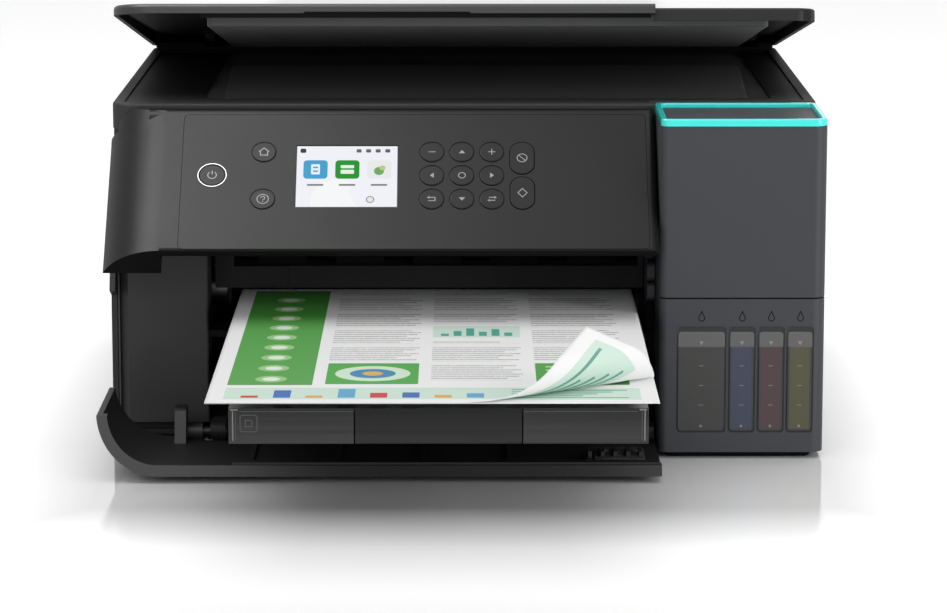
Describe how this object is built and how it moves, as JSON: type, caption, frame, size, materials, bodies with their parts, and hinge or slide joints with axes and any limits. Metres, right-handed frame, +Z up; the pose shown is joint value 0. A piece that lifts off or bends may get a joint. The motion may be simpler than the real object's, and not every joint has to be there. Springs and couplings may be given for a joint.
{
  "type": "inkjet_printer",
  "caption": "Black desktop ink-tank inkjet printer with raised scanner lid, tilted control panel, front ink tanks, open front door and extended output tray holding A4 paper",
  "frame": {"origin": "middle of the resting outline, on the table under the rubber feet", "axes": "+X to the user's right, +Y away from the user, +Z up"},
  "size_m": [0.375, 0.5611, 0.231],
  "materials": {
    "black_plastic": "satin textured",
    "dark_plastic": "matte",
    "tank_plastic": "matte textured",
    "panel_plastic": "satin",
    "key_plastic": "satin",
    "teal_plastic": "gloss",
    "smoky_plastic": "translucent gloss",
    "clear_tank": "translucent",
    "cap_plastic": "matte",
    "foot_rubber": "matte",
    "belt_rubber": "matte",
    "roller_rubber": "matte",
    "roller_steel": "brushed",
    "plated_steel": "satin",
    "white_acetal": "satin",
    "green_board": "satin",
    "dark_glass": "gloss",
    "screen_glass": "gloss",
    "light_ring": "lit diffuse",
    "dark_foam": "matte",
    "paper": "matte"
  },
  "bodies": {
    "chassis": {"base_pan": "black_plastic", "rubber_feet": "foot_rubber", "outer_case": "black_plastic", "front_frame": "black_plastic", "inner_guide": "dark_plastic", "platen": "dark_plastic", "carriage_rail": "plated_steel", "carriage_belt": "belt_rubber", "carriage_motor": "plated_steel", "cap_station": "dark_plastic", "feed_motor": "plated_steel", "main_board": "green_board", "power_supply": "dark_plastic", "tank_case": "tank_plastic", "ink_tanks": "clear_tank"},
    "scanner": {"scanner_base": "black_plastic", "scanner_bezel": "black_plastic", "scanner_glass": "dark_glass"},
    "scan_bar": {"scan_carriage": "dark_plastic"},
    "lid": {"document_cover": "black_plastic", "document_mat": "dark_foam", "lid_hinges": "plated_steel"},
    "panel": {"panel_shell": "black_plastic", "panel_face": "panel_plastic", "power_light": "light_ring", "display_screen": "screen_glass"},
    "door": {"front_door": "black_plastic"},
    "tray": {"output_tray": "black_plastic"},
    "reach": {"tray_reach": "smoky_plastic"},
    "tip": {"tray_tip": "smoky_plastic"},
    "hood": {"tank_hood": "tank_plastic", "tank_rim": "teal_plastic"},
    "carriage": {"print_carriage": "dark_plastic"},
    "pulley": {"drive_pulley": "white_acetal"},
    "feed": {"feed_roller": "roller_steel"},
    "exit": {"exit_roller": "roller_steel"},
    "gear": {"feed_gear": "white_acetal"},
    "pickup": {"pickup_roller": "roller_rubber"},
    "cassette": {"paper_cassette": "dark_plastic"},
    "sheets": {"printed_sheets": "paper"},
    "rear": {"rear_cover": "black_plastic"},
    "power_button_body": {"power_button": "key_plastic"},
    "home_button_body": {"home_button": "key_plastic"},
    "help_button_body": {"help_button": "key_plastic"},
    "key_minus_body": {"key_minus": "key_plastic"},
    "key_up_body": {"key_up": "key_plastic"},
    "key_plus_body": {"key_plus": "key_plastic"},
    "key_left_body": {"key_left": "key_plastic"},
    "key_enter_body": {"key_enter": "key_plastic"},
    "key_right_body": {"key_right": "key_plastic"},
    "key_return_body": {"key_return": "key_plastic"},
    "key_down_body": {"key_down": "key_plastic"},
    "key_swap_body": {"key_swap": "key_plastic"},
    "stop_button_body": {"stop_button": "key_plastic"},
    "start_button_body": {"start_button": "key_plastic"},
    "cap_black": {"tank_cap_black": "cap_plastic"},
    "cap_cyan": {"tank_cap_cyan": "cap_plastic"},
    "cap_magenta": {"tank_cap_magenta": "cap_plastic"},
    "cap_yellow": {"tank_cap_yellow": "cap_plastic"}
  },
  "joints": [
    {"name": "scanner_lift", "type": "hinge", "parent": "chassis", "child": "scanner", "pos_m": [0, 0.268, 0.15], "axis": [-1, 0, 0], "range_deg": [0, 25]},
    {"name": "scan_travel", "type": "slide", "parent": "scanner", "child": "scan_bar", "axis": [1, 0, 0], "range_m": [0, 0.318]},
    {"name": "cover_lift", "type": "hinge", "parent": "scanner", "child": "lid", "pos_m": [0, 0.269, 0.1813], "axis": [-1, 0, 0], "range_deg": [-9.3, 65]},
    {"name": "panel_tilt", "type": "hinge", "parent": "chassis", "child": "panel", "pos_m": [0, -0.0125, 0.171], "axis": [-1, 0, 0], "range_deg": [-23, 15]},
    {"name": "press_power_button", "type": "slide", "parent": "panel", "child": "power_button_body", "axis": [0, 0.7071, -0.7071], "range_m": [0, 0.0008], "stiffness_N_per_m": 900},
    {"name": "press_home_button", "type": "slide", "parent": "panel", "child": "home_button_body", "axis": [0, 0.7071, -0.7071], "range_m": [0, 0.0008], "stiffness_N_per_m": 900},
    {"name": "press_help_button", "type": "slide", "parent": "panel", "child": "help_button_body", "axis": [0, 0.7071, -0.7071], "range_m": [0, 0.0008], "stiffness_N_per_m": 900},
    {"name": "press_key_minus", "type": "slide", "parent": "panel", "child": "key_minus_body", "axis": [0, 0.7071, -0.7071], "range_m": [0, 0.0008], "stiffness_N_per_m": 900},
    {"name": "press_key_up", "type": "slide", "parent": "panel", "child": "key_up_body", "axis": [0, 0.7071, -0.7071], "range_m": [0, 0.0008], "stiffness_N_per_m": 900},
    {"name": "press_key_plus", "type": "slide", "parent": "panel", "child": "key_plus_body", "axis": [0, 0.7071, -0.7071], "range_m": [0, 0.0008], "stiffness_N_per_m": 900},
    {"name": "press_key_left", "type": "slide", "parent": "panel", "child": "key_left_body", "axis": [0, 0.7071, -0.7071], "range_m": [0, 0.0008], "stiffness_N_per_m": 900},
    {"name": "press_key_enter", "type": "slide", "parent": "panel", "child": "key_enter_body", "axis": [0, 0.7071, -0.7071], "range_m": [0, 0.0008], "stiffness_N_per_m": 900},
    {"name": "press_key_right", "type": "slide", "parent": "panel", "child": "key_right_body", "axis": [0, 0.7071, -0.7071], "range_m": [0, 0.0008], "stiffness_N_per_m": 900},
    {"name": "press_key_return", "type": "slide", "parent": "panel", "child": "key_return_body", "axis": [0, 0.7071, -0.7071], "range_m": [0, 0.0008], "stiffness_N_per_m": 900},
    {"name": "press_key_down", "type": "slide", "parent": "panel", "child": "key_down_body", "axis": [0, 0.7071, -0.7071], "range_m": [0, 0.0008], "stiffness_N_per_m": 900},
    {"name": "press_key_swap", "type": "slide", "parent": "panel", "child": "key_swap_body", "axis": [0, 0.7071, -0.7071], "range_m": [0, 0.0008], "stiffness_N_per_m": 900},
    {"name": "press_stop_button", "type": "slide", "parent": "panel", "child": "stop_button_body", "axis": [0, 0.7071, -0.7071], "range_m": [0, 0.0008], "stiffness_N_per_m": 900},
    {"name": "press_start_button", "type": "slide", "parent": "panel", "child": "start_button_body", "axis": [0, 0.7071, -0.7071], "range_m": [0, 0.0008], "stiffness_N_per_m": 900},
    {"name": "door_drop", "type": "hinge", "parent": "chassis", "child": "door", "pos_m": [0, -0.0435, 0.01], "axis": [-1, 0, 0], "range_deg": [0, 33]},
    {"name": "tray_slide", "type": "slide", "parent": "chassis", "child": "tray", "axis": [0, 1, 0], "range_m": [0, 0.084]},
    {"name": "reach_slide", "type": "slide", "parent": "tray", "child": "reach", "axis": [0, 1, 0], "range_m": [0, 0.124]},
    {"name": "tip_slide", "type": "slide", "parent": "reach", "child": "tip", "axis": [0, 1, 0], "range_m": [-0.06, 0]},
    {"name": "hood_lift", "type": "hinge", "parent": "chassis", "child": "hood", "pos_m": [0, -0.001, 0.172], "axis": [-1, 0, 0], "range_deg": [0, 62]},
    {"name": "cap_lift_black", "type": "hinge", "parent": "chassis", "child": "cap_black", "pos_m": [0.1229, -0.023, 0.088], "axis": [-1, 0, 0], "range_deg": [0, 100]},
    {"name": "cap_lift_cyan", "type": "hinge", "parent": "chassis", "child": "cap_cyan", "pos_m": [0.14395, -0.023, 0.088], "axis": [-1, 0, 0], "range_deg": [0, 100]},
    {"name": "cap_lift_magenta", "type": "hinge", "parent": "chassis", "child": "cap_magenta", "pos_m": [0.15905, -0.023, 0.088], "axis": [-1, 0, 0], "range_deg": [0, 100]},
    {"name": "cap_lift_yellow", "type": "hinge", "parent": "chassis", "child": "cap_yellow", "pos_m": [0.1741, -0.023, 0.088], "axis": [-1, 0, 0], "range_deg": [0, 100]},
    {"name": "carriage_travel", "type": "slide", "parent": "chassis", "child": "carriage", "axis": [1, 0, 0], "range_m": [-0.232, 0]},
    {"name": "pulley_turn", "type": "hinge", "parent": "chassis", "child": "pulley", "pos_m": [0.128, 0.173, 0.12], "axis": [0, 1, 0], "continuous": true},
    {"name": "feed_turn", "type": "hinge", "parent": "chassis", "child": "feed", "pos_m": [0, 0.137, 0.086], "axis": [1, 0, 0], "continuous": true},
    {"name": "exit_turn", "type": "hinge", "parent": "chassis", "child": "exit", "pos_m": [0, 0.031, 0.086], "axis": [1, 0, 0], "continuous": true},
    {"name": "gear_turn", "type": "hinge", "parent": "chassis", "child": "gear", "pos_m": [-0.157, 0.084, 0.06502], "axis": [1, 0, 0], "continuous": true},
    {"name": "pickup_turn", "type": "hinge", "parent": "chassis", "child": "pickup", "pos_m": [0, 0.216, 0.066], "axis": [1, 0, 0], "continuous": true},
    {"name": "cassette_slide", "type": "slide", "parent": "chassis", "child": "cassette", "axis": [0, 1, 0], "range_m": [-0.15, 0]},
    {"name": "sheet_draw", "type": "slide", "parent": "chassis", "child": "sheets", "axis": [0, 1, 0], "range_m": [-0.1, 0]},
    {"name": "rear_cover_pull", "type": "slide", "parent": "chassis", "child": "rear", "axis": [0, 1, 0], "range_m": [0, 0.06]}
  ],
  "couplings": [
    {"joint": "pulley_turn", "follows": "carriage_travel", "rad_per_m": 153.85},
    {"joint": "exit_turn", "follows": "feed_turn", "ratio": 1},
    {"joint": "gear_turn", "follows": "feed_turn", "ratio": -0.35714}
  ]
}
